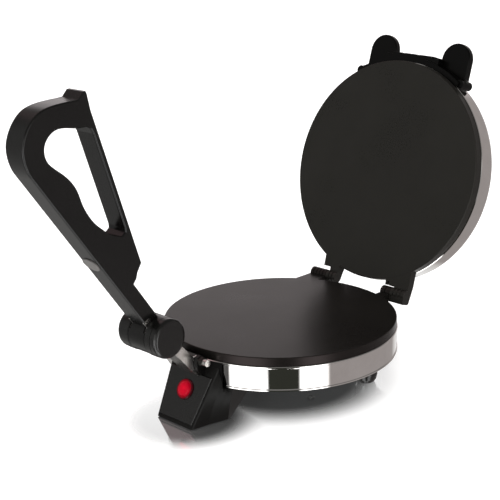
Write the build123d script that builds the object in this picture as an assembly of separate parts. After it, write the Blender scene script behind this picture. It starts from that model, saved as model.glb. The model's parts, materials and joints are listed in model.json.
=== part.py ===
from build123d import *
import os
from math import sin, cos, tan, atan, atan2, radians, degrees, sqrt, hypot, pi

# ---------------------------------------------------------------------------
# Electric roti maker: two round hot plates joined by a rear hinge, a front
# leg with a pilot lamp, and a press lever with two rollers, pivoted on the leg.
# Everything is drawn in the plate frame: origin in the middle of the lower
# plate's top face, +X to the right seen from the front, -Y to the front, +Z up.
# The written parts are moved by SHIFT_Y and FLOOR_Z, so that the feet stand on
# z = 0 and the box of the whole object is centred on the Z axis.
# ---------------------------------------------------------------------------

# driving dimensions (mm, degrees)
PLATE_R = 105.0          # cooking plate radius (210 mm plates)
PLATE_T = 7.9            # height of the dark plate edge
LOWER_WEB = 6.6          # thickness of the lower plate inside its rim
UPPER_WEB = 3.2          # the lid's plate is the lighter one
BAND_H = 22.3            # visible height of the steel base band
BAND_WALL = 1.0
FLOOR_Z = 62.3           # plate top above the floor
SHIFT_Y = 32.1           # puts the box of the object in the middle
HINGE_Y = 112.3          # hinge axis
HINGE_Z = 0.2
KNUCKLE_R = 5.3
PIN_D = 5.0
PIN_FIT = 0.05           # radial clearance of the lid on its pins
OPEN_ANGLE = 106.8       # lid opening from closed, which is the rest pose
PLATE_GAP = 0.4          # between the closed plates
LID_H = 20.4             # height of the lid shell's side
LEFT_BASE_LUG = (-60.0, -41.0)
LEFT_LID_LUG = (-40.6, -29.0)
RIGHT_BASE_LUG = (28.7, 39.4)
RIGHT_LID_LUG = (39.8, 56.2)
SLOPE = 0.56             # dy/dz of the front of the leg
LEG_FRONT_Y = -131.8     # front of the leg at floor height
LAMP_Z = -35.6
PIVOT = (-111.2, -7.8)   # lever pivot (y, z)
HUB = (-151.6, 25.8)     # roller axle (y, z)
LEVER_MAX = 41.5         # swing of the lever from rest
ROLLER_R = 16.9
ROLLER_IN = 9.9
ROLLER_SEAM = 16.8
ROLLER_OUT = 24.2
AXLE_D = 6.0
STRAP_HALF = 9.5
STRAP_T = 1.5
FLANGE_H = 9.2
HANDLE_HALF = 11.0
TONGUE_HALF = 7.8
FOOT = (62.0, 47.0)      # rear feet
FOOT_R = 10.3
EAR_R = 15.8
EAR_X = 43.3
EAR_U = 226.1            # ear centre, measured from the hinge axis

os.makedirs("parts", exist_ok=True)
NODES = {}


def put(name, shape):
    moved = Pos(0, SHIFT_Y, FLOOR_Z) * shape
    bb = moved.bounding_box()
    NODES[name] = (bb.min.X, bb.max.X, bb.min.Y, bb.max.Y, bb.min.Z, bb.max.Z)
    export_step(moved, "parts/" + name + ".step")


def cyl(r, h, at=(0, 0, 0), axis="z"):
    """cylinder that starts at a point and runs h along an axis"""
    c = Cylinder(r, abs(h), align=(Align.CENTER, Align.CENTER, Align.MIN))
    if h < 0:
        c = Rot(180, 0, 0) * c
    if axis == "x":
        c = Rot(0, 90, 0) * c
    elif axis == "y":
        c = Rot(-90, 0, 0) * c
    return Pos(*at) * c


def block(x0, x1, y0, y1, z0, z1):
    return Pos((x0 + x1) / 2, (y0 + y1) / 2, (z0 + z1) / 2) * Box(x1 - x0, y1 - y0, z1 - z0)


def slab(points, x0, x1):
    """closed (y, z) outline pulled along X from x0 to x1"""
    face = make_face(Plane.YZ * Polyline([(p[0], p[1]) for p in points], close=True))
    return Pos(x0, 0, 0) * extrude(face, amount=x1 - x0, dir=(1, 0, 0))


def ring_profile(points):
    """half section (r, z) turned about Z"""
    face = make_face(Plane.XZ * Polyline(points, close=True))
    return revolve(face, axis=Axis.Z)


def one(shape):
    """largest solid of a boolean result"""
    s = shape.solids()
    return max(s, key=lambda q: q.volume) if len(s) > 1 else s[0]


# ---------------------------------------------------------------- plates
def plate(web):
    """cast plate, cooking face at z = 0, everything else below it"""
    t = PLATE_T
    body = ring_profile([(0, 0), (PLATE_R - 0.7, 0), (PLATE_R - 0.2, -0.2), (PLATE_R, -0.7),
                         (PLATE_R, -t + 0.4), (PLATE_R - 0.4, -t), (PLATE_R - 4.6, -t),
                         (PLATE_R - 5.8, -web), (0, -web)])
    bed = ring_profile([(61.5, -web + 0.5), (74.5, -web + 0.5), (73.5, -8.7), (62.5, -8.7)])
    body = body + bed
    body = body - Pos(0, 0, -8.9) * Torus(68, 3.4)
    for a in (90, 210, 330):
        body = body + cyl(3.6, -(27.8 - web + 0.5), (40 * cos(radians(a)), 40 * sin(radians(a)), -web + 0.5))
    for a in (90, 210, 330):
        body = body - cyl(1.6, 14, (40 * cos(radians(a)), 40 * sin(radians(a)), -27.9))
    return body


def knuckle(x0, x1, r=KNUCKLE_R):
    k = cyl(r, x1 - x0, (x0, HINGE_Y, HINGE_Z), "x")
    n = int((x1 - x0) / 3.8)
    for i in range(1, n):                                              # ribs round the knuckle
        x = x0 + (x1 - x0) * i / n
        k = k - (cyl(r + 1, 1.1, (x - 0.55, HINGE_Y, HINGE_Z), "x") - cyl(r - 0.7, 1.1, (x - 0.55, HINGE_Y, HINGE_Z), "x"))
    return k


lower = plate(LOWER_WEB)
for x0, x1 in (LEFT_BASE_LUG, RIGHT_BASE_LUG):
    y_in = sqrt((PLATE_R - 3.0) ** 2 - max(abs(x0), abs(x1)) ** 2)
    lower = lower + slab([(y_in, -0.05), (HINGE_Y, -0.05), (HINGE_Y + 0.4, HINGE_Z - KNUCKLE_R + 0.05),
                          (HINGE_Y - 4.6, -6.6), (HINGE_Y - 9, -PLATE_T + 0.1), (y_in, -PLATE_T + 0.1)], x0, x1)
    lower = lower + knuckle(x0, x1)
lower = lower - cyl(PIN_D / 2, 200, (-100, HINGE_Y, HINGE_Z), "x")
lower = lower - block(-5, 5, -74.8, -61.2, -14, -LOWER_WEB - 0.1)     # way out for the element's ends
put("lower_plate", one(lower))


def element(zc):
    """tubular heater ring with its two cold ends turned down"""
    a = 8.0
    ring = Rot(0, 0, -90 + a) * revolve(Plane.XZ * Pos(68, zc) * Circle(3.3), axis=Axis.Z, revolution_arc=360 - 2 * a)
    out = ring
    for s in (-1, 1):
        x, y = 68 * cos(radians(-90 + s * a)), 68 * sin(radians(-90 + s * a))
        out = out + Pos(x, y, zc) * Sphere(3.3) + cyl(3.3, -7.5, (x, y, zc)) + cyl(1.5, -13.0, (x, y, zc))
    return out


put("lower_heating_element", one(element(-8.9)))


def clamp(z1, z0):
    d = ring_profile([(16, z0), (84, z0), (88, z0 + 1.4), (88.6, z1 + 1.3), (84.3, z1), (16, z1)])
    for a in (90, 210, 330):
        d = d - cyl(3.8, 8, (40 * cos(radians(a)), 40 * sin(radians(a)), z0 - 3))
    for s in (-1, 1):
        d = d - cyl(4.2, 8, (68 * cos(radians(-90 + s * 8)), 68 * sin(radians(-90 + s * 8)), z0 - 3))
    return d


put("lower_clamp_plate", one(clamp(-12.3, -13.1)))


def fibre(z1, z0):
    d = ring_profile([(17, z0), (82, z0), (82, z1), (17, z1)])
    for a in (90, 210, 330):
        d = d - cyl(3.8, 8, (40 * cos(radians(a)), 40 * sin(radians(a)), z0 - 3))
    for s in (-1, 1):
        d = d - cyl(4.2, 8, (68 * cos(radians(-90 + s * 8)), 68 * sin(radians(-90 + s * 8)), z0 - 3))
    return d


put("lower_insulation", one(fibre(-13.2, -15.4)))

stat = cyl(9.5, -5.0, (0, 0, -LOWER_WEB)) + cyl(6.0, -3.4, (0, 0, -LOWER_WEB - 5.0))
for s in (-1, 1):
    stat = stat + block(s * 5.2 - 2.2, s * 5.2 + 2.2, -0.4, 0.4, -20.0, -LOWER_WEB - 4.5)
put("thermostat", one(stat))
fuse = cyl(2.2, 11, (-5.5 + 24, 12, -18.2), "x") + cyl(0.6, 21, (-10.5 + 24, 12, -18.2), "x")
put("thermal_fuse", one(fuse))

# ---------------------------------------------------------------- base
z_top, z_bot = -PLATE_T - 0.1, -PLATE_T - BAND_H
band = ring_profile([(PLATE_R - BAND_WALL, z_top), (PLATE_R + 0.15, z_top), (PLATE_R + 0.75, z_top - 0.5),
                     (PLATE_R + 0.75, z_top - 1.3), (PLATE_R + 0.1, z_top - 1.9), (PLATE_R, z_top - 2.2),
                     (PLATE_R, z_bot + 2.1), (PLATE_R + 0.1, z_bot + 1.8), (PLATE_R + 0.75, z_bot + 1.3),
                     (PLATE_R + 0.75, z_bot + 0.4), (PLATE_R + 0.15, z_bot), (PLATE_R - BAND_WALL, z_bot)])
for s in (-1, 1):
    band = band - cyl(1.5, 14, (s * 4.5, -112, -17.8), "y")
GV = Vector(20, sqrt(104.0 ** 2 - 400), 0).normalized()
GP = Plane(origin=GV * (PLATE_R - BAND_WALL) + Vector(0, 0, -19.0), x_dir=(0, 0, 1), z_dir=GV)
band = band - (GP * Cylinder(4.5, 8))                                 # hole for the lead to the lid
put("base_band", one(band))

cover = cyl(PLATE_R - BAND_WALL - 0.2, 1.2, (0, 0, -29.6))
for a in (90, 210, 330):
    cover = cover - cyl(2.2, 4, (40 * cos(radians(a)), 40 * sin(radians(a)), -31))
for k in range(6):
    a = radians(k * 60)
    cover = cover - Pos(66 * cos(a), 66 * sin(a), -29) * Rot(0, 0, degrees(a)) * extrude(SlotOverall(20, 4), amount=2, both=True)
for s in (-1, 1):
    cover = cover - cyl(1.7, 4, (s * 20, -72, -31)) - cyl(2.2, 4, (s * FOOT[0], FOOT[1], -31))
cover = cover - block(-12, 12, -92, -80, -31, -28)
put("bottom_cover", one(cover))


def pan_screw(r_head, h_head, r, length, at):
    """pan-head screw, head down, shank up"""
    s = Pos(at[0], at[1], at[2]) * (ring_profile([(0, -h_head), (r_head * 0.7, -h_head), (r_head, -h_head * 0.55), (r_head, 0), (r, 0),
                                                  (r, length), (0, length)]))
    for a in (0, 90):
        s = s - Pos(at[0], at[1], at[2] - h_head) * Rot(0, 0, a) * Box(r_head * 1.1, 0.9, 1.8)
    return s


put("cover_screws", Compound([one(pan_screw(3.6, 2.2, 1.5, 12, (40 * cos(radians(a)), 40 * sin(radians(a)), -29.6)))
                                       for a in (90, 210, 330)]))

# leg: a hollow wedge under and in front of the band
front = lambda z: LEG_FRONT_Y + SLOPE * (z + 62.3)
LEG_BOT, LEG_TOP = -61.8, -30.6


def side_cut(s, inset):
    """everything outside one side of the leg"""
    b, c = 0.134, 0.055
    n = Vector(s * 1.0, -b, -c).normalized()
    o = Vector(s * 22.4, -131.0, -62.0) - n * inset
    return Plane(origin=o, x_dir=Vector(0, 0, 1).cross(n).normalized(), z_dir=n) * Box(400, 400, 120, align=(Align.CENTER, Align.CENTER, Align.MIN))




def leg_level(z, pts):
    pts = [(x, y) for x, y in pts]
    left = [(-x, y) for x, y in reversed(pts)]
    return make_face(Pos(0, 0, z) * Polyline(pts + left, close=True))


def half_w(z):
    return 22.0 + 6.5 * (z + 62.3) / 51.3


def lofted(levels):
    out = None
    for (z0, p0), (z1, p1) in zip(levels, levels[1:]):
        piece = loft([leg_level(z0, p0), leg_level(z1, p1)], ruled=True)
        out = piece if out is None else out + piece
    return out


def corner(z):
    w, y = half_w(z), front(z)
    return [(w - 1.5, y), (w - 0.55, y + 0.35), (w, y + 1.3)]


low = corner(LEG_BOT) + [(24.1, -114.9), (26.9, -103.6), (28.4, -95.5), (27.0, -90.0)]
mid = corner(-30.2) + [(30.0, -106.8), (33.6, -102.2), (37.7, -98.0), (30.0, -58.4)]
top = corner(-8.2) + [(31.5, -99.3), (33.5, -98.7), (35.0, -98.0), (33.0, -80.0)]
leg = lofted([(LEG_BOT, low), (-30.2, mid), (-8.2, top)])
leg = leg - block(-60, 60, -104, -50, LEG_TOP, 0) - cyl(106.2, 40, (0, 0, LEG_TOP))
collar = (cyl(107.4, 30.6 - 8.2, (0, 0, LEG_TOP)) - cyl(106.2, 40, (0, 0, LEG_TOP - 1))) & block(-30, 30, -120, -80, LEG_TOP, -8.2)
leg = one(leg + collar)
leg = leg - loft([leg_level(-59.2, [(18.4, front(-59.2) + 4.6), (24.4, -96.0), (23.8, -91.0)]),
                  leg_level(-33.0, [(22.4, front(-33.0) + 4.6), (30.2, -97.0), (27.5, -64.6)])], ruled=True)
# seat of the front panel
FN = Vector(0, -1, SLOPE).normalized()                      # outward normal of the front
FP = Plane(origin=(0, front(LAMP_Z), LAMP_Z), x_dir=(1, 0, 0), z_dir=FN)


def front_box(z0, z1, depth0, depth1, inset):
    """slab parallel to the leg's front, between two heights, in the leg's side planes"""
    s0, s1 = (z0 - LAMP_Z) * hypot(1, SLOPE), (z1 - LAMP_Z) * hypot(1, SLOPE)
    b = FP * (Pos(0, (s0 + s1) / 2, (depth0 + depth1) / 2) * Box(120, s1 - s0, depth1 - depth0))
    return b - side_cut(1, inset) - side_cut(-1, inset)


leg = leg - front_box(-59.2, -21.2, -1.7, 8.0, 2.6)
leg = leg - (FP * Cylinder(10.0, 14))
leg = leg - block(-20, 20, -125, -106.9, -14.8, -5) - block(-14.3, 14.3, -125, -107.0, -20.9, -14.8)     # room for the lever's bracket
for s in (-1, 1):
    leg = leg - cyl(1.5, 20, (s * 4.5, -118, -17.8), "y")
for s in (-1, 1):
    leg = leg + (cyl(4.0, 8, (s * 20, -72, -37.7)) + cyl(5.0, 3.0, (s * 20, -72, -32.7)))
    leg = leg - cyl(1.4, 20, (s * 20, -72, -37.2))
leg = leg - block(-12, 12, -92, -80, -36, -29)               # way up for the wires
IN = Vector(-0.939, -0.331, -0.0905).normalized()                # outward normal of the left wall
IP = Plane(origin=(-27.85, -107.5, -50.0), x_dir=Vector(0, 0, 1).cross(IN).normalized(), z_dir=IN)
leg = leg - (IP * Cylinder(5.0, 14))                          # cord inlet in the left wall
put("front_leg", one(leg))

panel = front_box(-59.0, -21.4, -1.6, 0.6, 2.9)
panel = one(panel)
rim = [e for e in panel.edges() if abs((e.center() - FP.origin).dot(FN) - 0.6) < 0.01]
panel = fillet(rim, 0.9)
panel = panel - (FP * Cylinder(6.7, 20))
put("front_fascia", one(panel))

lens_prof = [(0, -3.6), (4.4, -3.6), (4.4, -9.5), (6.5, -9.5), (6.5, 0.6), (9.0, 0.6), (9.0, 1.5), (8.4, 2.2), (7.1, 2.4), (6.9, 2.1),
             (6.6, 2.1), (6.3, 2.9), (5.2, 3.5), (3.0, 3.8), (0, 3.9)]
put("pilot_lamp_lens", one(FP * ring_profile(lens_prof)))
put("pilot_lamp_clip", one(FP * ring_profile([(6.55, -1.65), (9.5, -1.65), (9.5, -2.3), (7.2, -2.3), (7.2, -4.6), (6.55, -4.6)])))
neon = ring_profile([(0, -15.0), (2.4, -15.0), (3.0, -14.2), (3.0, -6.0), (2.2, -4.6), (0, -4.2)])
neon = neon + Pos(1.2, 0, -16.0) * Cylinder(0.35, 4) + Pos(-1.2, 0, -16.0) * Cylinder(0.35, 4)
put("neon_lamp", one(FP * neon))

tb = block(-11, 11, -106, -96, -59.1, -49.5)
for x in (-6.5, 0, 6.5):
    tb = tb - cyl(1.6, -6, (x, -98.5, -49.4)) - cyl(1.5, 12, (x, -107, -55.6), "y")
put("terminal_block", one(tb))

bush = IP * ring_profile([(3.2, -6.8), (6.2, -6.8), (6.2, -5.2), (4.9, -5.2), (4.9, 0.7), (7.0, 0.7), (7.0, 2.1), (6.2, 2.8),
                          (6.0, 4.6), (5.4, 5.5), (3.2, 5.5)])
put("cord_inlet_bush", one(bush))

pad = [(front(LEG_BOT) + 5.0, LEG_BOT - 0.5), (-94, LEG_BOT - 0.5), (-94, LEG_BOT + 0.0), (front(LEG_BOT) + 5.0, LEG_BOT + 0.0)]
put("leg_pad", one(slab(pad, -60, 60) - side_cut(1, 4) - side_cut(-1, 4)))
put("leg_screws", Compound([one(Pos(s * 20, -72, -28.4) * ring_profile([(0, 2.0), (2.2, 2.0), (3.2, 1.1), (3.2, 0), (1.35, 0), (1.35, -8.4), (0, -8.4)]))
                                     for s in (-1, 1)]))


def foot(s):
    f = ring_profile([(0, -29.7), (FOOT_R, -29.7), (FOOT_R + 0.1, -48), (FOOT_R, -55), (FOOT_R - 0.8, -58.6), (FOOT_R - 2.2, -61.2),
                      (7.2, -61.2), (7.2, -57.5), (0, -57.5)])
    f = f - cyl(1.4, -14, (0, 0, -29.6))
    return one(Pos(s * FOOT[0], FOOT[1], 0) * f)


put("rear_foot_left", foot(-1))
put("rear_foot_right", foot(1))
put("foot_pads", Compound([one(Pos(s * FOOT[0], FOOT[1], 0) * ring_profile([(0, -57.6), (7.1, -57.6), (7.1, -61.6), (6.4, -62.3), (0, -62.3)]))
                                    for s in (-1, 1)]))
put("foot_screws", Compound([one(Pos(s * FOOT[0], FOOT[1], -28.4) * ring_profile(
    [(0, 2.0), (2.2, 2.0), (3.4, 1.1), (3.4, 0), (1.35, 0), (1.35, -11.5), (0, -11.5)])) for s in (-1, 1)]))

# ---------------------------------------------------------------- lever bracket on the leg
ear = [(-107.0, -20.6), (-110.6, -20.8), (-114.6, -16.0), (-115.6, -9.5), (-114.0, -4.4), (-111.2, -3.0), (-108.2, -4.4), (-107.0, -7.0)]
br = slab(ear, 9.9, 13.8) + slab(ear, -13.8, -9.9)
br = br + block(-13.8, 13.8, -108.2, -107.0, -20.5, -14.9)
br = br - cyl(3.0, 60, (-30, PIVOT[0], PIVOT[1]), "x")
for s in (-1, 1):
    br = br - cyl(1.6, 20, (s * 4.5, -115, -17.8), "y")
put("lever_bracket", one(br))
put("bracket_screws", Compound([one(Plane(origin=(s * 4.5, -108.2, -17.8), x_dir=(1, 0, 0), z_dir=(0, 1, 0)) * ring_profile(
    [(0, -1.6), (1.8, -1.6), (2.6, -0.8), (2.6, 0), (1.5, 0), (1.5, 4.5), (0, 4.5)])) for s in (-1, 1)]))
bolt = cyl(AXLE_D / 2, 36.3, (-13.8, PIVOT[0], PIVOT[1]), "x")
bolt = bolt + Pos(-15.8, PIVOT[0], PIVOT[1]) * Rot(0, 90, 0) * extrude(RegularPolygon(4.2, 6), amount=2.0, both=True)
put("lever_pivot_bolt", one(bolt))
nut = Pos(15.85, PIVOT[0], PIVOT[1]) * Rot(0, 90, 0) * extrude(RegularPolygon(4.2, 6), amount=2.05, both=True)
nut = nut - cyl(AXLE_D / 2, 20, (8, PIVOT[0], PIVOT[1]), "x")
put("lever_pivot_nut", one(nut))

# ---------------------------------------------------------------- hinge pins
put("hinge_pin_left", cyl(PIN_D / 2, 28.4, (-60.4, HINGE_Y, HINGE_Z), "x"))
put("hinge_pin_right", cyl(PIN_D / 2, 25.4, (28.0, HINGE_Y, HINGE_Z), "x"))
gro = GP * ring_profile([(2.6, -2.2), (5.8, -2.2), (5.8, -0.3), (4.3, -0.3), (4.3, 1.05), (6.0, 1.1), (5.6, 3.2), (2.6, 3.4)])
put("base_lead_grommet", one(gro))

# ---------------------------------------------------------------- wires inside the base and leg
def wire(points, r, radius):
    path = FilletPolyline(*[Vector(*p) for p in points], radius=radius)
    start = path @ 0
    return sweep(Plane(origin=start, z_dir=path % 0) * Circle(r), path=path)


for name, x in (("live_wire", -6.5), ("earth_wire", 0.0), ("neutral_wire", 6.5)):
    put(name, one(wire([(x, -98.5, -53.0), (x, -98.5, -46.0), (x * 1.1, -86.5, -35.0), (x * 1.1, -84.5, -24.5)], 1.0, 6)))


# ---------------------------------------------------------------- lid (drawn closed, then opened)
CLOSED = PLATE_GAP      # height of the upper cooking face when closed


def flip(shape):
    """from the plate's own frame (cooking face up) to the closed lid (cooking face down)"""
    return Pos(0, 0, CLOSED) * Rot(180, 0, 0) * shape


def opened(shape):
    return Pos(0, HINGE_Y, HINGE_Z) * Rot(-OPEN_ANGLE, 0, 0) * Pos(0, -HINGE_Y, -HINGE_Z) * shape


upper = one(flip(plate(UPPER_WEB)))
# lugs: left one steps back over the base's knuckle, right one is a wide arm with a heel
r_in = sqrt((PLATE_R - 3.0) ** 2 - 49.0 ** 2)
ztop = CLOSED + PLATE_T - 0.1
upper = upper + slab([(r_in, CLOSED + 0.05), (HINGE_Y - 8.7, CLOSED + 0.05), (HINGE_Y - 8.7, ztop), (r_in, ztop)], -49.0, LEFT_LID_LUG[1])
upper = upper + slab([(r_in, CLOSED + 0.05), (HINGE_Y, CLOSED + 0.05), (HINGE_Y + 0.6, HINGE_Z + KNUCKLE_R - 0.05),
                      (HINGE_Y - 4.0, 6.6), (HINGE_Y - 9.0, ztop), (r_in, ztop)], *LEFT_LID_LUG)
upper = upper + knuckle(*LEFT_LID_LUG)
r_in2 = sqrt((PLATE_R - 3.0) ** 2 - 56.0 ** 2)
upper = upper + slab([(r_in2, CLOSED + 0.05), (HINGE_Y - 9.9, CLOSED + 0.05), (HINGE_Y - 9.9, ztop), (r_in2, ztop)], 28.9, RIGHT_LID_LUG[1])
for x0, x1 in ((28.9, 31.0), (33.4, RIGHT_LID_LUG[0])):
    upper = upper + slab([(r_in2, CLOSED + 0.05), (HINGE_Y - 5.9, CLOSED + 0.05), (HINGE_Y - 5.9, CLOSED + 3.0), (HINGE_Y - 7.9, ztop), (r_in2, ztop)], x0, x1)
upper = upper + slab([(r_in2, CLOSED + 0.05), (HINGE_Y - 5, CLOSED + 0.05), (HINGE_Y - 3.0, HINGE_Z - 4.6), (HINGE_Y + 7.6, HINGE_Z - 4.6),
                      (HINGE_Y + 8.2, HINGE_Z - 3.6), (HINGE_Y + 8.2, HINGE_Z + 3.6), (HINGE_Y + 7.0, HINGE_Z + 5.2), (HINGE_Y - 9.0, ztop), (r_in2, ztop)],
                     *RIGHT_LID_LUG)
upper = upper + knuckle(*RIGHT_LID_LUG)
upper = upper - cyl(PIN_D / 2 + PIN_FIT, 40, (-71.7, HINGE_Y, HINGE_Z), "x")
upper = upper - cyl(PIN_D / 2 + PIN_FIT, 30, (24, HINGE_Y, HINGE_Z), "x")
upper = upper - block(-5, 5, 61.2, 74.8, CLOSED + 6.7, CLOSED + 14)
put("upper_plate", opened(one(upper)))

put("upper_heating_element", opened(flip(one(element(-8.9)))))
put("upper_clamp_plate", opened(flip(one(clamp(-12.3, -13.1)))))
put("upper_insulation", opened(flip(one(fibre(-13.2, -15.4)))))

zs = CLOSED + PLATE_T + 0.1
zt = zs + LID_H
R = PLATE_R
shell = ring_profile([(R - 1.0, zs), (R + 0.3, zs), (R + 0.8, zs + 0.5), (R + 0.8, zs + 1.3), (R + 0.2, zs + 1.9), (R + 0.1, zs + 2.2),
                      (R + 0.1, zt - 3.6), (R - 0.5, zt - 1.7), (R - 1.8, zt - 0.5), (R - 3.6, zt), (R - 8, zt), (R - 10.5, zt + 0.7),
                      (60, zt + 2.1), (0, zt + 2.9), (0, zt + 2.0), (60, zt + 1.2), (R - 10.3, zt - 0.2), (R - 8, zt - 0.9), (R - 3.8, zt - 0.9),
                      (R - 2.4, zt - 1.2), (R - 1.3, zt - 2.2), (R - 0.9, zt - 3.8)])
for a in (90, 210, 330):
    shell = shell - cyl(2.0, 12, (40 * cos(radians(a)), -40 * sin(radians(a)), zt - 4))
shell = shell - cyl(4.5, 8, (25, 82, zt - 3))
put("lid_shell", opened(one(shell)))
put("lid_screws", Compound([opened(one(Pos(40 * cos(radians(a)), -40 * sin(radians(a)), zt + 2.35) * ring_profile(
    [(0, 2.1), (2.6, 2.1), (3.7, 1.0), (3.7, 0.2), (1.5, 0.2), (1.5, -9.0), (0, -9.0)]))) for a in (90, 210, 330)]))
lg = Pos(25, 82, zt + 1.2) * ring_profile([(2.6, -3.0), (5.8, -3.0), (5.8, -1.4), (4.3, -1.4), (4.3, 0.9), (6.0, 1.0), (5.6, 3.2), (2.6, 3.6)])
put("lid_lead_grommet", opened(one(lg)))

# ear bracket round the front of the lid: skirt, roller pad, two ears, end bosses
z0b, z1b = CLOSED + 8.9, CLOSED + 28.4
skirt = (cyl(110.2, z1b - 1.6 - CLOSED - 7.0, (0, 0, CLOSED + 7.0)) - cyl(R + 1.1, 60, (0, 0, z0b - 1)) - cyl(R + 0.3, 60, (0, 0, 0)))
a = radians(33.0)
wedge = extrude(make_face(Polyline([(0, 0), (-200 * sin(a), -200 * cos(a)), (200 * sin(a), -200 * cos(a))], close=True)), amount=60)
skirt = skirt & wedge
brk = skirt
yf = HINGE_Y - 225.7
zp = z1b + 0.3
bar = slab([(-98, z0b), (yf + 0.3, z0b), (yf, z0b + 0.4), (yf, zp - 2.0), (yf + 0.6, zp - 0.9), (yf + 1.8, zp), (-106, zp), (-106, z1b - 1), (-98, z1b - 1)], -24.0, 24.0)
bar2 = slab([(-98, z0b), (yf + 1.9, z0b), (yf + 1.7, z0b + 0.4), (yf + 1.7, z1b - 4.5), (yf + 3.0, z1b - 3.0), (-98, z1b - 3.0)], -31.0, 31.0)
ze0, ze1 = CLOSED + 17.6, CLOSED + 24.6
ears = None
for s in (-1, 1):
    e = Pos(s * EAR_X, HINGE_Y - EAR_U, ze0) * Cylinder(EAR_R, ze1 - ze0, align=(Align.CENTER, Align.CENTER, Align.MIN))
    e = e + block(s * EAR_X - EAR_R, s * EAR_X + EAR_R, HINGE_Y - EAR_U, HINGE_Y - EAR_U + 32, ze0, ze1)
    e = one(e)
    e = fillet([q for q in e.edges() if abs(q.center().Z - ze1) < 0.01 or abs(q.center().Z - ze0) < 0.01], 1.4)
    ears = e if ears is None else ears + e
clear = cyl(R + 1.1, 80, (0, 0, -20))
ears = ears - clear
brk = brk + (bar - clear) + (bar2 - clear) + ears
for s in (-1, 1):
    bx, by = s * 109.0 * sin(a), -109.0 * cos(a)
    brk = brk + (Pos(bx, by, z0b) * Cylinder(4.3, 15.5, align=(Align.CENTER, Align.CENTER, Align.MIN)) - clear)
    rad = Vector(sin(a) * s, -cos(a), 0)
    hole = Plane(origin=Vector(0, 0, z0b + 7.5) + rad * 103.0, x_dir=(0, 0, 1), z_dir=rad)
    brk = brk - (hole * Cylinder(1.7, 30))
brk = one(brk)
TURN = Rot(0, 0, 1.3)            # the bracket sits slightly turned on the lid
brk = TURN * brk
for x0, x1 in ((-10.2, -7.3), (7.3, 10.2)):                             # let-ins for the sides of the strap
    brk = brk - block(x0, x1, -118, -112.3, z0b - 1, zp + 1)
put("ear_bracket", opened(one(brk)))
scr = []
for s in (-1, 1):
    rad = Vector(sin(a) * s, -cos(a), 0)
    pl = Plane(origin=Vector(0, 0, z0b + 7.5) + rad * 113.35, x_dir=(0, 0, 1), z_dir=rad)
    scr.append(opened(TURN * one(pl * ring_profile([(0, 1.3), (1.5, 1.3), (2.4, 0.7), (2.4, 0.0), (1.6, 0.0), (1.6, -7.2), (0, -7.2)]))))
put("ear_bracket_screws", Compound(scr))

# ---------------------------------------------------------------- lever
def lever_cyl(r, x0, x1, at):
    return cyl(r, x1 - x0, (x0, at[0], at[1]), "x")


sd = (0.6756, -0.7373)                 # along the strap, towards the base
sn = (0.7373, 0.6756)                  # across it, towards the plates
sa = (-132.9, 1.15)                    # point on the outside of the web


def sp(s, t):
    return (sa[0] + sd[0] * s + sn[0] * t, sa[1] + sd[1] * s + sn[1] * t)


hd = (0.577, -0.817)                   # along the handle's neck, towards the hub
hn = (0.817, 0.577)                    # across it, towards the plates
hub_s = (HUB[0] - sa[0]) * sd[0] + (HUB[1] - sa[1]) * sd[1]
heel = sp(32.3, 0.0)
flange = [sp(hub_s + 2.0, -2.0), sp(-20.0, 0.0), heel, (heel[0] + 0.4, heel[1] + 1.0), (PIVOT[0] + 1.0, -14.0), (PIVOT[0] + 2.6, PIVOT[1] - 2.6),
          (PIVOT[0] + 1.4, PIVOT[1] + 3.4), sp(16.0, FLANGE_H), sp(hub_s + 6, FLANGE_H), sp(hub_s, 8.0)]
strap = None


def nk(along, across):
    """point on the neck: distance up from the roller axle, and across it towards the plates"""
    return (HUB[0] - hd[0] * along + hn[0] * across, HUB[1] - hd[1] * along + hn[1] * across)


fork = [nk(0, -4.3), nk(20.2, -4.3), nk(21.6, -3.0), nk(21.6, 1.0), nk(20.2, 2.3), nk(0, 2.3)]
for x0, x1 in ((-STRAP_HALF, -STRAP_HALF + STRAP_T), (STRAP_HALF - STRAP_T, STRAP_HALF)):
    f = slab(flange, x0, x1) + lever_cyl(15.2, x0, x1, HUB) + slab(fork, x0, x1) + lever_cyl(3.9, x0, x1, PIVOT)
    strap = f if strap is None else strap + f
strap = strap + slab([sp(hub_s + 16.9, 0.0), heel, sp(32.3, STRAP_T), sp(hub_s + 16.9, STRAP_T)], -STRAP_HALF, STRAP_HALF)
strap = strap - lever_cyl(AXLE_D / 2, -40, 40, HUB) - lever_cyl(AXLE_D / 2 + 0.05, -40, 40, PIVOT)
RIV = nk(18.4, -1.0)
strap = strap - lever_cyl(1.2, -40, 40, RIV)
put("lever_strap", one(strap))
sleeve = lever_cyl(4.1, -STRAP_HALF + STRAP_T + 0.05, STRAP_HALF - STRAP_T - 0.05, PIVOT) - lever_cyl(AXLE_D / 2 + 0.05, -40, 40, PIVOT)
put("pivot_sleeve", one(sleeve))

ax_ = lever_cyl(AXLE_D / 2, -15.4, 15.4, HUB)
for s in (-1, 1):
    ax_ = ax_ - (lever_cyl(10, min(s * 13.6, s * 14.4), max(s * 13.6, s * 14.4), HUB) - lever_cyl(2.3, -20, 20, HUB))
put("roller_axle", one(ax_))
put("axle_clips", Compound([one(lever_cyl(4.6, min(s * 13.65, s * 14.35), max(s * 13.65, s * 14.35), HUB) - lever_cyl(2.3, -20, 20, HUB)
                                         - (Pos(0, HUB[0], HUB[1]) * Rot(-40, 0, 0) * Pos(0, 0, 6) * Box(60, 3.0, 12))) for s in (-1, 1)]))


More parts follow.
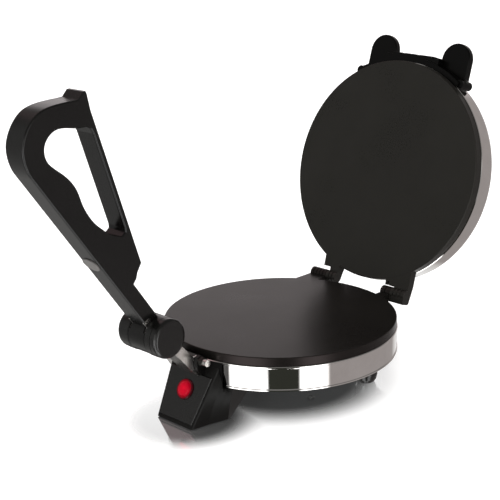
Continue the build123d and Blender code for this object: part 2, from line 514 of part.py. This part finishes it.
def roller(s):
    pts = [(3.05, ROLLER_IN), (ROLLER_R - 0.7, ROLLER_IN), (ROLLER_R, ROLLER_IN + 0.7), (ROLLER_R, ROLLER_SEAM), (5.4, ROLLER_SEAM), (5.4, 13.4), (3.05, 13.4)]
    p = Plane(origin=(0, HUB[0], HUB[1]), x_dir=(0, 1, 0), z_dir=(s, 0, 0))
    return one(p * ring_profile(pts))


def roller_cap(s):
    h, f = ROLLER_OUT, 3.6
    arc = [(ROLLER_R - 0.15 - f + f * sin(radians(k)), h - f + f * cos(radians(k))) for k in (90, 75, 60, 45, 30, 15, 0)]
    pts = [(0, ROLLER_SEAM), (ROLLER_R - 0.5, ROLLER_SEAM), (ROLLER_R - 0.15, ROLLER_SEAM + 0.3)] + arc + [(0, h)]
    p = Plane(origin=(0, HUB[0], HUB[1]), x_dir=(0, 1, 0), z_dir=(s, 0, 0))
    c = p * ring_profile(pts)
    return one(c + p * (Pos(0, 0, 16.2) * (Cylinder(5.3, 2.0, align=(Align.CENTER, Align.CENTER, Align.MIN)))))


put("roller_left", roller(-1))
put("roller_right", roller(1))
put("roller_cap_left", roller_cap(-1))
put("roller_cap_right", roller_cap(1))

# handle: side outline (y, z), 22 mm wide, with the grip opening
out_pts = [(-170.9, 45.5), (-217.4, 111.4), (-263.9, 177.3)]
arc_pts = [(-268.2, 186.0), (-269.8, 193.0), (-269.9, 199.2), (-268.4, 205.4), (-264.9, 212.6), (-260.0, 218.8), (-253.6, 223.6), (-245.6, 226.2),
           (-236.0, 227.4), (-226.0, 227.9), (-217.4, 228.3)]
nib = [(-212.8, 233.2), (-210.6, 233.4), (-209.6, 231.0)]
bar_pts = [(-207.2, 219.0), (-166.6, 91.4)]
step = [(-171.0, 84.4), (-172.4, 79.6), (-175.4, 75.8)]
neck = [(-159.6, 53.0)]
face2d = Polyline([out_pts[0], out_pts[1], out_pts[2]])
w2 = Spline([out_pts[2]] + arc_pts, tangents=[(-0.577, 0.817), (1.0, 0.06)])
w3 = Polyline([arc_pts[-1]] + nib + bar_pts + step + neck)
end_a, end_b = neck[-1], out_pts[0]
w4 = Polyline([end_a, nk(0, 9.16), nk(0, -4.4), end_b])
hface = make_face(Plane.YZ * (face2d + w2 + w3 + w4))
handle = Pos(-HANDLE_HALF, 0, 0) * extrude(hface, amount=2 * HANDLE_HALF, dir=(1, 0, 0))
grip_a = [(-211.6, 206.9), (-221.9, 207.3), (-232.0, 209.0), (-240.4, 208.4), (-246.0, 205.0), (-249.8, 199.6), (-250.6, 193.2), (-248.4, 186.8),
          (-243.4, 181.6), (-235.9, 175.6), (-228.6, 168.3), (-223.4, 159.6), (-220.0, 149.8), (-214.9, 140.0), (-208.4, 131.6), (-200.4, 124.6), (-193.0, 119.9)]
g1 = Spline(grip_a, tangents=[(-1.0, -0.05), (0.93, -0.38)])
bar_in = [(-184.8, 116.9), (-181.4, 119.6), (-181.4, 122.8), (-206.3, 201.0), (-208.6, 205.2)]
g2 = Polyline([grip_a[-1]] + bar_in + [grip_a[0]])
grip = make_face(Plane.YZ * (g1 + g2))
handle = handle - Pos(-30, 0, 0) * extrude(grip, amount=60, dir=(1, 0, 0))
handle = one(handle)
side = [e for e in handle.edges() if abs(abs(e.center().X) - HANDLE_HALF) < 0.01 and e.bounding_box().size.X < 0.01]
handle = one(fillet(side, 1.6))
# the neck's cheeks stop short of the rollers and are let in for the strap's fork; between the rollers it ends in a round boss
boss = lever_cyl(16.5, -TONGUE_HALF, TONGUE_HALF, HUB)
strap_way = [sp(-31.0, -0.5), sp(-8.0, -0.5), sp(-8.0, FLANGE_H + 0.5), sp(-31.0, FLANGE_H + 0.5)]
let_in = [nk(0, -9.0), nk(20.4, -9.0), nk(21.9, -3.1), nk(21.9, 1.1), nk(20.4, 2.6), nk(0, 2.6)]
for x0, x1 in ((-14.0, -TONGUE_HALF), (TONGUE_HALF, 14.0)):
    handle = handle - lever_cyl(17.3, x0, x1, HUB) - slab(let_in, x0, x1)
handle = handle + boss
for x0, x1 in ((-9.5, -TONGUE_HALF), (TONGUE_HALF, 9.5)):          # rim of the boss over the strap's round ends
    handle = handle + (lever_cyl(16.5, x0, x1, HUB) - lever_cyl(15.4, x0, x1, HUB) - slab(strap_way, x0, x1) - slab(let_in, x0, x1))
handle = one(handle)
handle = handle - lever_cyl(AXLE_D / 2, -40, 40, HUB) - lever_cyl(1.2, -40, 40, RIV)
handle = one(handle)
put("handle", handle)
BD = (-207.7, 97.6)                    # badge centre on the back of the neck
bc = Plane(origin=(0, BD[0], BD[1]), x_dir=(1, 0, 0), z_dir=(0, -hn[0], -hn[1]))
badge = bc * extrude(Ellipse(9.2, 6.4), amount=0.9)
put("handle_badge", one(badge))
riv = lever_cyl(1.2, -STRAP_HALF, STRAP_HALF, RIV)
for s in (-1, 1):
    riv = riv + lever_cyl(1.9, min(s * STRAP_HALF, s * (STRAP_HALF + 0.3)), max(s * STRAP_HALF, s * (STRAP_HALF + 0.3)), RIV)
put("handle_rivet", one(riv))

print("nodes", len(NODES), "box", [round(f(b[k] for b in NODES.values()), 2) for k, f in enumerate((min, max, min, max, min, max))])
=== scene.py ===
import json
import math
import bpy
import bmesh
from mathutils import Matrix, Vector


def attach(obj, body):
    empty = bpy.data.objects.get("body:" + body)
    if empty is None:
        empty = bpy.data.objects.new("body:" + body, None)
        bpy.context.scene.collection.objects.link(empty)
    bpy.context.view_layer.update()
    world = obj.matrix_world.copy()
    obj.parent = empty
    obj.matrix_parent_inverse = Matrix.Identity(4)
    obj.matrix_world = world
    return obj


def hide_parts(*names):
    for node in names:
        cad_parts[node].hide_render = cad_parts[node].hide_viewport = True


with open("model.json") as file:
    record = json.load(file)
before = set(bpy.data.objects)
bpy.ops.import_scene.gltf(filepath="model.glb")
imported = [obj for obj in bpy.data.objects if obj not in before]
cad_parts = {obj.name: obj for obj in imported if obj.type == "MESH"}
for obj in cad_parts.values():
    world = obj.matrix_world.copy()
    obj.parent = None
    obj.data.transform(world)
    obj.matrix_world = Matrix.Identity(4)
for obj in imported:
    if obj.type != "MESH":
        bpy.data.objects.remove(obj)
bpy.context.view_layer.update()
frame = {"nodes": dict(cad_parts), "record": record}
NODES = frame["nodes"]
BODY = {}
for body_name, members in frame["record"]["behaviour"]["bodies"].items():
    for member in members:
        BODY[member] = body_name
SLOT = {s["node"]: s["material_slot"] for s in frame["record"]["subparts"]}
SY, FZ = 0.0321, 0.0623          # plate frame to row frame


def P(x, y, z):
    """millimetres in the plate frame to metres in the row frame"""
    return Vector((x / 1000, y / 1000 + SY, z / 1000 + FZ))


# ------------------------------------------------------------------ camera
cam_data = bpy.data.cameras.new("photo_camera")
cam = bpy.data.objects.new("photo_camera", cam_data)
bpy.context.scene.collection.objects.link(cam)
right = Vector((0.7076294, 0.7062112, -0.0229416))
up = Vector((-0.1921536, 0.2235812, 0.9555566))
back = Vector((0.6799542, -0.6717716, 0.2939137))
m = Matrix((right, up, back)).transposed().to_4x4()
m.translation = P(727.1317, -754.6541, 383.5667)
cam.matrix_world = m
cam_data.sensor_fit = "HORIZONTAL"
cam_data.sensor_width = 36.0
cam_data.lens = 88.636
cam_data.clip_start = 0.05
bpy.context.scene.camera = cam
bpy.context.scene.view_settings.view_transform = "Standard"
bpy.context.scene.view_settings.look = "None"

# ------------------------------------------------------------------ materials


class Graph:
    def __init__(self, name):
        self.m = bpy.data.materials.new(name)
        self.m.use_nodes = True
        self.t = self.m.node_tree
        self.t.nodes.clear()
        self.out = self.t.nodes.new("ShaderNodeOutputMaterial")
        self.b = self.t.nodes.new("ShaderNodeBsdfPrincipled")
        self.t.links.new(self.b.outputs[0], self.out.inputs[0])
        self.tc = self.t.nodes.new("ShaderNodeTexCoord")

    def node(self, kind, **props):
        n = self.t.nodes.new(kind)
        for k, v in props.items():
            setattr(n, k, v)
        return n

    def link(self, a, b):
        self.t.links.new(a, b)

    def noise(self, scale, detail=3.0, rough=0.55, stretch=None, distortion=0.0):
        n = self.node("ShaderNodeTexNoise")
        n.inputs["Scale"].default_value = scale
        n.inputs["Detail"].default_value = detail
        n.inputs["Roughness"].default_value = rough
        n.inputs["Distortion"].default_value = distortion
        src = self.tc.outputs["Object"]
        if stretch:
            mp = self.node("ShaderNodeMapping")
            mp.inputs["Scale"].default_value = stretch
            self.link(src, mp.inputs["Vector"])
            src = mp.outputs[0]
        self.link(src, n.inputs["Vector"])
        return n.outputs["Fac"]

    def ramp(self, fac, stops):
        r = self.node("ShaderNodeValToRGB")
        e = r.color_ramp.elements
        e[0].position, e[0].color = stops[0][0], (*stops[0][1], 1)
        e[1].position, e[1].color = stops[-1][0], (*stops[-1][1], 1)
        for p, c in stops[1:-1]:
            x = e.new(p)
            x.color = (*c, 1)
        self.link(fac, r.inputs[0])
        return r.outputs[0]

    def mix(self, fac, a, b, blend="MIX"):
        n = self.node("ShaderNodeMix", data_type="RGBA", blend_type=blend)
        for sock, v in ((n.inputs[0], fac), (n.inputs[6], a), (n.inputs[7], b)):
            if hasattr(v, "links") or hasattr(v, "is_linked"):
                self.link(v, sock)
            elif isinstance(v, (int, float)):
                sock.default_value = v
            else:
                sock.default_value = (*v, 1)
        return n.outputs[2]

    def span(self, fac, lo, hi, a=0.3, b=0.7):
        n = self.node("ShaderNodeMapRange")
        n.inputs["From Min"].default_value = a
        n.inputs["From Max"].default_value = b
        n.inputs["To Min"].default_value = lo
        n.inputs["To Max"].default_value = hi
        self.link(fac, n.inputs["Value"])
        return n.outputs[0]

    def bump(self, height, strength, distance, below=None):
        n = self.node("ShaderNodeBump")
        n.inputs["Strength"].default_value = strength
        n.inputs["Distance"].default_value = distance
        self.link(height, n.inputs["Height"])
        if below is not None:
            self.link(below, n.inputs["Normal"])
        return n.outputs[0]

    def edge(self, lo=0.52, hi=0.60):
        """1 on worn outer edges"""
        g = self.node("ShaderNodeNewGeometry")
        return self.span(g.outputs["Pointiness"], 0.0, 1.0, lo, hi)

    def set(self, **v):
        for k, x in v.items():
            self.b.inputs[k.replace("_", " ")].default_value = x


def scaled(c, k):
    return tuple(min(1.0, x * k) for x in c)


def plastic(name, c, rough, var=0.25, grain=900.0, grain_mm=0.02, spec=0.5, coat=0.0, coat_rough=0.1):
    g = Graph(name)
    big = g.noise(22.0, 4.0)
    fine = g.noise(grain, 3.0)
    col = g.ramp(big, [(0.25, scaled(c, 1 - var)), (0.5, c), (0.8, scaled(c, 1 + var))])
    dust = g.noise(260.0, 2.0, 0.7)
    col = g.mix(g.span(dust, 0.0, 0.10, 0.62, 0.78), col, scaled(c, 3.0))
    g.link(col, g.b.inputs["Base Color"])
    g.link(g.span(big, rough * 0.88, rough * 1.12), g.b.inputs["Roughness"])
    n1 = g.bump(fine, 0.35, grain_mm / 1000)
    g.link(g.bump(g.noise(90.0, 2.0), 0.25, 0.00006, n1), g.b.inputs["Normal"])
    g.set(Specular_IOR_Level=spec, Coat_Weight=coat, Coat_Roughness=coat_rough)
    return g.m


def metal(name, c, rough, var=0.06, stretch=None, scale=120.0, line_mm=0.01, smudge=0.5, edges=True):
    g = Graph(name)
    big = g.noise(9.0, 5.0, 0.6)
    line = g.noise(scale, 3.0, 0.6, stretch)
    col = g.ramp(big, [(0.3, scaled(c, 1 - var)), (0.7, scaled(c, 1 + var))])
    if edges:
        col = g.mix(g.edge(), col, scaled(c, 1.15))
    g.link(col, g.b.inputs["Base Color"])
    r = g.node("ShaderNodeMath", operation="ADD")
    g.link(g.span(big, rough * (1 - smudge * 0.5), rough * (1 + smudge * 0.5)), r.inputs[0])
    g.link(g.span(line, 0.0, rough * 0.25), r.inputs[1])
    g.link(r.outputs[0], g.b.inputs["Roughness"])
    g.link(g.bump(line, 0.3, line_mm / 1000), g.b.inputs["Normal"])
    g.set(Metallic=1.0)
    return g.m


def coated_plate(name="nonstick_coating", painted_light_lift=1.0, tint=(1.0, 0.80, 0.80, 1.0), spec=0.20):
    """dark satin non-stick coating: fine sprayed grain, faint blotches and a few lighter flecks; a colour factor
    above 1 gives a lighter copy, used as painted light
    """
    g = Graph(name)
    c = (0.0058 * painted_light_lift, 0.0054 * painted_light_lift, 0.0048 * painted_light_lift)
    blotch = g.noise(14.0, 5.0, 0.6)
    grain = g.noise(1400.0, 2.0, 0.6)
    fleck = g.node("ShaderNodeTexVoronoi")
    fleck.inputs["Scale"].default_value = 700.0
    g.link(g.tc.outputs["Object"], fleck.inputs["Vector"])
    col = g.ramp(blotch, [(0.3, scaled(c, 0.85)), (0.7, scaled(c, 1.18))])
    col = g.mix(g.span(grain, 0.0, 0.35, 0.35, 0.8), col, scaled(c, 1.6))
    col = g.mix(g.span(fleck.outputs["Distance"], 0.25, 0.0, 0.0, 0.12), col, scaled(c, 3.5))
    g.link(col, g.b.inputs["Base Color"])
    r = g.node("ShaderNodeMath", operation="ADD")
    g.link(g.span(blotch, 0.25, 0.31), r.inputs[0])
    g.link(g.span(grain, 0.0, 0.05), r.inputs[1])
    g.link(r.outputs[0], g.b.inputs["Roughness"])
    n1 = g.bump(grain, 0.5, 0.00003)
    g.link(g.bump(blotch, 0.15, 0.0002, n1), g.b.inputs["Normal"])
    g.set(Specular_IOR_Level=spec, Specular_Tint=tint)
    return g.m


def mirror_steel():
    """polished stainless sheet: slight waviness of the spun sheet, fine polishing lines round it, faint smudges"""
    g = Graph("mirror_polished_steel")
    wave = g.noise(14.0, 2.0, 0.4, (1.0, 1.0, 0.6))
    lines = g.noise(40.0, 4.0, 0.6, (1.0, 1.0, 40.0))
    smudge = g.noise(30.0, 5.0, 0.65)
    col = g.ramp(smudge, [(0.3, (0.71, 0.69, 0.67)), (0.7, (0.80, 0.785, 0.77))])
    g.link(col, g.b.inputs["Base Color"])
    r = g.node("ShaderNodeMath", operation="ADD")
    g.link(g.span(smudge, 0.015, 0.045, 0.35, 0.75), r.inputs[0])
    g.link(g.span(lines, 0.0, 0.02), r.inputs[1])
    g.link(r.outputs[0], g.b.inputs["Roughness"])
    n1 = g.bump(wave, 0.25, 0.0003)
    g.link(g.bump(lines, 0.15, 0.00002, n1), g.b.inputs["Normal"])
    g.set(Metallic=1.0)
    return g.m


def red_lens():
    """moulded red cap: bright where the lamp shines through its dome, dark in the thick outer ring"""
    g = Graph("red_lamp_lens")
    d = g.node("ShaderNodeVectorMath", operation="DISTANCE")
    g.link(g.tc.outputs["Object"], d.inputs[0])
    d.inputs[1].default_value = tuple(LAMP_C)
    n = g.noise(300.0, 2.0)
    body = g.ramp(n, [(0.3, (0.30, 0.0008, 0.010)), (0.7, (0.38, 0.0012, 0.014))])
    ring = g.span(d.outputs["Value"], 0.0, 1.0, 0.0066, 0.0088)
    g.link(g.mix(ring, body, (0.045, 0.0012, 0.004)), g.b.inputs["Base Color"])
    g.link(g.span(n, 0.20, 0.28), g.b.inputs["Roughness"])
    lit = g.span(d.outputs["Value"], 1.0, 0.0, 0.0035, 0.0085)
    g.link(g.mix(lit, (0.0, 0.0, 0.0), (0.30, 0.0, 0.008)), g.b.inputs["Emission Color"])
    g.b.inputs["Emission Strength"].default_value = 1.0
    w = g.node("ShaderNodeTexWave", wave_type="RINGS", rings_direction="SPHERICAL")
    w.inputs["Scale"].default_value = 220.0
    mp = g.node("ShaderNodeMapping")
    mp.inputs["Location"].default_value = tuple(-v for v in LAMP_C)
    g.link(g.tc.outputs["Object"], mp.inputs["Vector"])
    g.link(mp.outputs[0], w.inputs["Vector"])
    g.link(g.bump(w.outputs["Fac"], 0.12, 0.0001), g.b.inputs["Normal"])
    g.set(Specular_IOR_Level=0.12)
    return g.m


def glass(name, c):
    g = Graph(name)
    n = g.noise(60.0, 2.0)
    g.link(g.ramp(n, [(0.3, scaled(c, 0.97)), (0.7, c)]), g.b.inputs["Base Color"])
    g.link(g.span(n, 0.02, 0.06), g.b.inputs["Roughness"])
    g.set(Transmission_Weight=0.9)
    return g.m


LAMP_C = P(0, -131.8 + 0.56 * 26.7, -35.6)
MATS = {
    "nonstick_plate": coated_plate(),
    "polished_steel": mirror_steel(),
    "element_sheath": metal("element_sheath", (0.20, 0.19, 0.18), 0.5),
    # near-black sheet for the bottom cover: its darkness is painted shade under the base
    "painted_sheet": plastic("underside_sheet_painted_shade", (0.012, 0.012, 0.012), 0.45, 0.3, 600, 0.03, 0.35),
    "plated_sheet": metal("plated_sheet", (0.55, 0.55, 0.53), 0.38, scale=60, stretch=(1, 18, 1)),
    "fibre_board": plastic("fibre_board", (0.62, 0.55, 0.44), 0.9, 0.15, 500, 0.12, 0.2),
    "white_ceramic": plastic("white_ceramic", (0.80, 0.78, 0.72), 0.6, 0.05, 700, 0.02),
    "zinc_hardware": metal("zinc_hardware", (0.74, 0.73, 0.70), 0.22, scale=300),
    "strap_steel": metal("strap_steel", (0.66, 0.64, 0.62), 0.22, scale=60, stretch=(1, 30, 30), line_mm=0.03),
    "black_bakelite": plastic("black_bakelite", (0.0052, 0.0050, 0.0047), 0.26, 0.3),
    "badge_grey": plastic("badge_grey", (0.12, 0.115, 0.11), 0.34, 0.2),
    "black_roller": plastic("black_roller", (0.0036, 0.0035, 0.0033), 0.24, 0.3),
    "red_lens": red_lens(),
    "clear_glass": glass("clear_glass", (0.95, 0.90, 0.86)),
    "black_rubber": plastic("black_rubber", (0.012, 0.012, 0.012), 0.75, 0.2, 500, 0.05, 0.3),
    "wire_brown": plastic("wire_brown", (0.10, 0.035, 0.015), 0.45),
    "wire_blue": plastic("wire_blue", (0.02, 0.06, 0.32), 0.45),
    "wire_green": plastic("wire_green", (0.10, 0.35, 0.03), 0.45),
}
OWN = {
    # lid face: the same coating 1.7 times lighter with a less pink reflection tint; the extra lightness is painted
    # light
    "upper_plate": coated_plate("nonstick_coating_lid_painted_light", 1.7, (1.0, 1.0, 0.92, 1.0), 0.26),
    "front_leg": plastic("leg_phenolic", (0.0062, 0.0060, 0.0056), 0.36, 0.3, 900, 0.02, 0.12),
    "handle": plastic("handle_phenolic", (0.0036, 0.0035, 0.0033), 0.20, 0.3, 900, 0.02, 0.36),
    "bracket_screws": metal("blackened_screws", (0.05, 0.05, 0.047), 0.38, scale=300),
    "ear_bracket_screws": metal("blackened_ear_screws", (0.06, 0.06, 0.056), 0.40, scale=300),
    # near-black cover screws under the base: painted shade
    "cover_screws": metal("cover_screws_painted_shade", (0.04, 0.04, 0.038), 0.42, scale=300),
    "pivot_sleeve": metal("dull_sleeve", (0.10, 0.10, 0.095), 0.45, scale=300),
    # ear bracket: black plastic much darker and duller than the handle's; the extra darkness is painted shade and
    # painted dark reflection
    "ear_bracket": plastic("bracket_phenolic_painted_shade", (0.0012, 0.0012, 0.0011), 0.30, 0.3, 700, 0.03, 0.14),
    "lever_bracket": plastic("bracket_cast", (0.0040, 0.0038, 0.0036), 0.34, 0.3, 700, 0.03, 0.35),
    "lever_pivot_nut": metal("nut_dark_zinc", (0.045, 0.044, 0.041), 0.30, scale=300),
}
for n, ob in NODES.items():
    ob.data.materials.clear()
    ob.data.materials.append(OWN.get(n) or MATS[SLOT[n]])


# ------------------------------------------------------------------ pieces with their real, broken edges
def detail(node, width, segments=3, angle=28.0, flat=0.35, painted_highlight=None, where=None, matt=None, where_matt=None):
    """the CAD node with softened edges: same shape and place, its sharp edges rounded by width (mm); a second
    material, if given, goes on the rounded faces inside where as a painted edge highlight, and a third, if given,
    on the faces inside where_matt
    """
    me = NODES[node].data.copy()
    me.name = node + "_edged"
    for a in [a.name for a in me.attributes if a.name == "custom_normal"]:
        me.attributes.remove(me.attributes[a])
    b = bmesh.new()
    b.from_mesh(me)
    bmesh.ops.remove_doubles(b, verts=b.verts, dist=2e-6)
    bmesh.ops.dissolve_limit(b, angle_limit=math.radians(flat), verts=b.verts, edges=b.edges)
    bmesh.ops.dissolve_degenerate(b, dist=1e-6, edges=b.edges)
    for f in b.faces:
        f.smooth = True
    for e in b.edges:
        e.smooth = True
    b.to_mesh(me)
    b.free()
    ob = bpy.data.objects.new(node + "_edged", me)
    bpy.context.scene.collection.objects.link(ob)
    m = ob.modifiers.new("edges", "BEVEL")
    m.width = width / 1000
    m.segments = segments
    m.limit_method = "ANGLE"
    m.angle_limit = math.radians(angle)
    m.use_clamp_overlap = True
    m.harden_normals = False
    m.miter_outer = "MITER_ARC"
    if painted_highlight:
        me.materials.clear()
        me.materials.append(NODES[node].data.materials[0])
        me.materials.append(painted_highlight)
        if matt:
            me.materials.append(matt)
        # the rounded faces take the second material: the painted edge highlight
        m.material = 1
    dg = bpy.context.evaluated_depsgraph_get()
    out = bpy.data.meshes.new_from_object(ob.evaluated_get(dg))
    ob.modifiers.clear()
    ob.data = out
    out.name = node + "_edged"
    if painted_highlight and where:
        for p in out.polygons:
            v = p.center
            if p.material_index and not where(v.x * 1000, (v.y - SY) * 1000, (v.z - FZ) * 1000):
                p.material_index = 0
    if matt:
        for p in out.polygons:
            v = p.center
            if where_matt(v.x * 1000, (v.y - SY) * 1000, (v.z - FZ) * 1000):
                p.material_index = 2
    b = bmesh.new()
    b.from_mesh(out)
    bmesh.ops.dissolve_degenerate(b, dist=1e-6, edges=b.edges)
    bmesh.ops.triangulate(b, faces=[f for f in b.faces if len(f.verts) > 4])
    for f in b.faces:
        f.smooth = True
    for e in b.edges:
        e.smooth = len(e.link_faces) != 2 or e.calc_face_angle(0.0) < math.radians(32)
    b.to_mesh(out)
    b.free()
    wn = ob.modifiers.new("normals", "WEIGHTED_NORMAL")
    wn.keep_sharp = True
    wn.weight = 60
    if not painted_highlight:
        out.materials.clear()
        out.materials.append(NODES[node].data.materials[0])
    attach(ob, BODY[node])
    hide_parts(node)
    return ob


# painted edge highlight: light grey plastic on the rounded edges of the leg's right side, at its front corner and
# bottom (x > 12)
LEG_PAINTED_HIGHLIGHT = plastic("leg_painted_edge_highlight", (0.24, 0.236, 0.228), 0.30, 0.5, 400, 0.04, 0.8)
detail("front_leg", 0.7, painted_highlight=LEG_PAINTED_HIGHLIGHT, where=lambda x, y, z: x > 12 and (y < -118 or z < -58),
       # collar by the band: matt, and darker than the leg as painted shade under the plate
       matt=plastic("leg_collar_painted_shade", (0.0040, 0.0038, 0.0036), 0.6, 0.3, 900, 0.02, 0.05),
       where_matt=lambda x, y, z: z > -33 and abs(math.hypot(x, y) - 107.2) < 1.4)
# painted edge highlight: light grey plastic on all rounded edges of the strap
detail("lever_strap", 0.5, 3, painted_highlight=plastic("strap_painted_edge_highlight", (0.34, 0.33, 0.315), 0.30, 0.3, 400, 0.03, 0.8))
detail("lever_bracket", 0.5)

# ------------------------------------------------------------------ floor and light
def plane(name, size, at, mat, rot=(0, 0, 0)):
    me = bpy.data.meshes.new(name)
    s = size / 2 if isinstance(size, (int, float)) else None
    sx, sy = (s, s) if s else (size[0] / 2, size[1] / 2)
    me.from_pydata([(-sx, -sy, 0), (sx, -sy, 0), (sx, sy, 0), (-sx, sy, 0)], [], [(0, 1, 2, 3)])
    ob = bpy.data.objects.new(name, me)
    bpy.context.scene.collection.objects.link(ob)
    ob.location = at
    ob.rotation_euler = rot
    me.materials.append(mat)
    return ob


def floor_material():
    """white acrylic table top: matt white far out, clear gloss where the maker stands"""
    g = Graph("floor_white")
    n = g.noise(0.8, 2.0)
    g.link(g.ramp(n, [(0.3, (0.93, 0.93, 0.93)), (0.7, (0.95, 0.95, 0.95))]), g.b.inputs["Base Color"])
    g.link(g.span(n, 0.5, 0.55), g.b.inputs["Roughness"])
    g.set(Specular_IOR_Level=0.2, Emission_Color=(1, 1, 1, 1), Emission_Strength=0.40)
    gl = g.node("ShaderNodeBsdfGlossy")
    gl.inputs["Color"].default_value = (1.0, 1.07, 1.07, 1)
    g.link(g.span(n, 0.045, 0.06), gl.inputs["Roughness"])
    near = None
    for at, full, none in ((P(0, 0, 0), 0.064, 0.106), (P(0, -116, 0), 0.036, 0.074)):
        d = g.node("ShaderNodeVectorMath", operation="DISTANCE")
        g.link(g.tc.outputs["Object"], d.inputs[0])
        d.inputs[1].default_value = (at.x, at.y, 0.0)
        f = g.node("ShaderNodeMapRange", interpolation_type="SMOOTHSTEP")
        f.inputs["From Min"].default_value = full
        f.inputs["From Max"].default_value = none
        f.inputs["To Min"].default_value = 0.95
        f.inputs["To Max"].default_value = 0.0
        g.link(d.outputs["Value"], f.inputs["Value"])
        if near is None:
            near = f.outputs[0]
        else:
            mx = g.node("ShaderNodeMath", operation="MAXIMUM")
            g.link(near, mx.inputs[0])
            g.link(f.outputs[0], mx.inputs[1])
            near = mx.outputs[0]
    ms = g.node("ShaderNodeMixShader")
    g.link(near, ms.inputs[0])
    g.link(g.b.outputs[0], ms.inputs[1])
    g.link(gl.outputs[0], ms.inputs[2])
    g.link(ms.outputs[0], g.out.inputs[0])
    return g.m


floor = plane("floor", 14.0, (0, 0, -0.0004), floor_material())
floor.visible_glossy = False


TOP = 4.0


def studio():
    """a light tent: pale all over, with upright white and dark panels low round the table and a grey side"""
    w = bpy.data.worlds.new("studio")
    bpy.context.scene.world = w
    w.use_nodes = True
    t = w.node_tree
    bg = t.nodes["Background"]
    bg.inputs[1].default_value = TOP
    tc = t.nodes.new("ShaderNodeTexCoord")
    sep = t.nodes.new("ShaderNodeSeparateXYZ")
    t.links.new(tc.outputs["Generated"], sep.inputs[0])
    at = t.nodes.new("ShaderNodeMath")
    at.operation = "ARCTAN2"
    t.links.new(sep.outputs[1], at.inputs[0])
    t.links.new(sep.outputs[0], at.inputs[1])
    az = t.nodes.new("ShaderNodeMapRange")
    az.inputs["From Min"].default_value = -math.pi
    az.inputs["From Max"].default_value = math.pi
    t.links.new(at.outputs[0], az.inputs["Value"])

    def ring(stops):
        r = t.nodes.new("ShaderNodeValToRGB")
        e = r.color_ramp.elements
        for k, (deg, c) in enumerate(stops):
            x = e[k] if k < 2 else e.new((deg + 180) / 360)
            x.position = (deg + 180) / 360
            x.color = (*[v / TOP for v in c], 1)
        t.links.new(az.outputs[0], r.inputs[0])
        return r.outputs[0]

    def grey(v):
        return (v, v * 0.985, v * 0.965)

    W, D, G = (3.4, 3.4, 3.4), (0.035, 0.037, 0.030), (0.375, 0.345, 0.338)
    low = ring([(-180, grey(0.49)), (180, grey(0.49)), (-166, grey(0.47)), (-154, grey(0.40)), (-125, grey(0.30)), (-98, grey(0.10)), (-95, W), (-61, W), (-58, D), (-29, D), (-26, W), (-3, W), (2, G),
                (96, G), (104, (0.72, 0.70, 0.69)), (120, (0.95, 0.95, 0.95)), (127, grey(0.03)), (150, grey(0.03)), (158, grey(0.12)), (167, grey(0.36)), (173, grey(0.49))])
    high = ring([(-180, grey(0.45)), (180, grey(0.50)), (-150, grey(0.34)), (-110, grey(0.50)), (-96, grey(0.55)), (-92, grey(1.6)), (-64, grey(1.6)), (-60, grey(0.3)),
                 (-30, grey(0.3)), (-25, grey(1.6)), (-5, grey(1.6)), (2, G), (98, G), (118, (0.99, 0.92, 0.92)), (160, (0.99, 0.92, 0.92)), (171, grey(0.5))])

    def mix(fac, a, b):
        n = t.nodes.new("ShaderNodeMix")
        n.data_type = "RGBA"
        for sock, v in ((n.inputs[0], fac), (n.inputs[6], a), (n.inputs[7], b)):
            if isinstance(v, tuple):
                sock.default_value = (*[x / TOP for x in v], 1)
            else:
                t.links.new(v, sock)
        return n.outputs[2]

    def step(a, b):
        n = t.nodes.new("ShaderNodeMapRange")
        n.interpolation_type = "SMOOTHSTEP"
        n.inputs["From Min"].default_value = a
        n.inputs["From Max"].default_value = b
        t.links.new(sep.outputs[2], n.inputs["Value"])
        return n.outputs[0]

    c = mix(step(-0.06, 0.04), low, high)
    c = mix(step(0.36, 0.56), c, (0.17, 0.165, 0.16))
    patch = t.nodes.new("ShaderNodeMath")
    patch.operation = "MULTIPLY"
    t.links.new(step(0.56, 0.63), patch.inputs[0])
    t.links.new(step(0.86, 0.76), patch.inputs[1])
    side = t.nodes.new("ShaderNodeMath")
    side.operation = "MULTIPLY"
    t.links.new(patch.outputs[0], side.inputs[0])
    t.links.new(ring([(-180, (TOP, TOP, TOP)), (180, (TOP, TOP, TOP)), (-150, (TOP, TOP, TOP)), (-135, (0, 0, 0)), (140, (0, 0, 0)), (155, (TOP, TOP, TOP))]), side.inputs[1])
    c = mix(side.outputs[0], c, (0.60, 0.42, 0.43))
    lp = t.nodes.new("ShaderNodeLightPath")
    c = mix(lp.outputs["Is Camera Ray"], c, (1.02, 1.02, 1.02))
    t.links.new(c, bg.inputs[0])


studio()


sun_data = bpy.data.lights.new("tent_top", "SUN")
sun_data.energy = 3.0
sun_data.angle = math.radians(110)
sun = bpy.data.objects.new("tent_top", sun_data)
bpy.context.scene.collection.objects.link(sun)
sun.rotation_euler = (Vector((0, 0, 0)) - Vector((0.3, -0.45, 1.6))).to_track_quat("-Z", "Y").to_euler()
sun.visible_glossy = False
